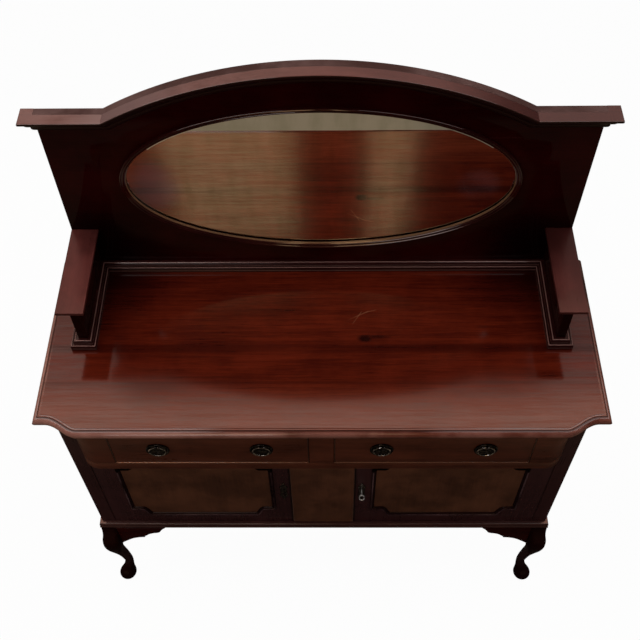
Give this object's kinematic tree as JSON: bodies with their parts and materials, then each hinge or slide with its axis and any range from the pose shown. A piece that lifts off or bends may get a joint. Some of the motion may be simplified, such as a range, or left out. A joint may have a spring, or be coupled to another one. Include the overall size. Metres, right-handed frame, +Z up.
{
  "type": "mirror-back sideboard",
  "caption": "Edwardian style mahogany sideboard with frieze drawers over cupboards, cabriole front legs and an arched back with an oval bevelled mirror and arm shelves",
  "frame": {"origin": "centre of the base, on the floor under the middle of the top board's length and depth", "axes": "+X towards the right-hand end as seen from the front, +Y towards the wall, +Z up; the doors and drawers face -Y"},
  "size_m": [1.372, 0.5215, 1.684],
  "materials": {
    "mahogany": "polished mahogany, glossy French polish",
    "dark_mahogany": "dark stained and polished mahogany",
    "veneer": "lighter figured veneer, polished",
    "inner_wood": "plain unpolished inner timber",
    "bronze": "dark bronzed brass",
    "steel": "bright worn steel",
    "lock_metal": "plain brass",
    "mirror": "silvered bevelled glass"
  },
  "bodies": {
    "carcase": {"arm_shelf_left": "mahogany", "arm_shelf_right": "mahogany", "arm_support_left": "dark_mahogany", "arm_support_right": "dark_mahogany", "back_board": "dark_mahogany", "base_moulding": "dark_mahogany", "carcase_back": "inner_wood", "centre_block": "veneer", "corner_stile_left": "dark_mahogany", "corner_stile_right": "dark_mahogany", "cornice_arch": "mahogany", "cornice_left": "mahogany", "cornice_right": "mahogany", "cupboard_floor": "dark_mahogany", "cupboard_partition": "inner_wood", "drawer_divider": "mahogany", "dust_board": "inner_wood", "foot_moulding": "dark_mahogany", "frieze_end_left": "mahogany", "frieze_end_right": "mahogany", "frieze_rail": "mahogany", "frieze_top_rail": "mahogany", "front_bracket_left": "dark_mahogany", "front_bracket_right": "dark_mahogany", "front_leg_left": "dark_mahogany", "front_leg_right": "dark_mahogany", "mirror_backing": "inner_wood", "mirror_frame": "dark_mahogany", "mirror_glass": "mirror", "rear_leg_left": "dark_mahogany", "rear_leg_right": "dark_mahogany", "side_left": "dark_mahogany", "side_right": "dark_mahogany", "support_plinth_left": "dark_mahogany", "support_plinth_right": "dark_mahogany", "top_board": "mahogany"},
    "drawer_left": {"drawer_front_left": "mahogany", "drawer_box_left": "inner_wood", "drawer_bottom_left": "inner_wood", "pull_plate_left_outer": "bronze", "pull_plate_left_inner": "bronze"},
    "ring_left_outer": {"pull_ring_left_outer": "bronze"},
    "ring_left_inner": {"pull_ring_left_inner": "bronze"},
    "door_left": {"door_frame_left": "dark_mahogany", "door_panel_left": "veneer", "door_moulding_left": "dark_mahogany", "escutcheon_left": "bronze"},
    "drawer_right": {"drawer_front_right": "mahogany", "drawer_box_right": "inner_wood", "drawer_bottom_right": "inner_wood", "pull_plate_right_outer": "bronze", "pull_plate_right_inner": "bronze"},
    "ring_right_outer": {"pull_ring_right_outer": "bronze"},
    "ring_right_inner": {"pull_ring_right_inner": "bronze"},
    "door_right": {"door_frame_right": "dark_mahogany", "door_panel_right": "veneer", "door_moulding_right": "dark_mahogany", "escutcheon_right": "bronze"},
    "key_body": {"key": "steel"},
    "bolt": {"lock_bolt": "lock_metal"}
  },
  "joints": [
    {"name": "drawer_slide_left", "type": "slide", "parent": "carcase", "child": "drawer_left", "axis": [0, -1, 0], "range_m": [0, 0.3]},
    {"name": "door_hinge_left", "type": "hinge", "parent": "carcase", "child": "door_left", "pos_m": [-0.5908, -0.19945, 0.598], "axis": [0, 0, -1], "range_deg": [0, 100]},
    {"name": "ring_hinge_left_outer", "type": "hinge", "parent": "drawer_left", "child": "ring_left_outer", "pos_m": [-0.4005, -0.24545, 0.9265], "axis": [-1, 0, 0], "range_deg": [0, 80]},
    {"name": "ring_hinge_left_inner", "type": "hinge", "parent": "drawer_left", "child": "ring_left_inner", "pos_m": [-0.147, -0.24545, 0.9265], "axis": [-1, 0, 0], "range_deg": [0, 80]},
    {"name": "drawer_slide_right", "type": "slide", "parent": "carcase", "child": "drawer_right", "axis": [0, -1, 0], "range_m": [0, 0.3]},
    {"name": "door_hinge_right", "type": "hinge", "parent": "carcase", "child": "door_right", "pos_m": [0.5908, -0.19945, 0.598], "axis": [0, 0, 1], "range_deg": [0, 100]},
    {"name": "ring_hinge_right_outer", "type": "hinge", "parent": "drawer_right", "child": "ring_right_outer", "pos_m": [0.4005, -0.24545, 0.9265], "axis": [-1, 0, 0], "range_deg": [0, 80]},
    {"name": "ring_hinge_right_inner", "type": "hinge", "parent": "drawer_right", "child": "ring_right_inner", "pos_m": [0.147, -0.24545, 0.9265], "axis": [-1, 0, 0], "range_deg": [0, 80]},
    {"name": "key_turn", "type": "hinge", "parent": "door_right", "child": "key_body", "pos_m": [0.106, -0.20425, 0.60611], "axis": [0, 1, 0], "range_deg": [0, 90]},
    {"name": "bolt_throw", "type": "slide", "parent": "door_right", "child": "bolt", "axis": [-1, 0, 0], "range_m": [0, 0.006]}
  ],
  "couplings": [
    {"joint": "key_turn", "follows": "bolt_throw", "rad_per_m": 261.79}
  ]
}
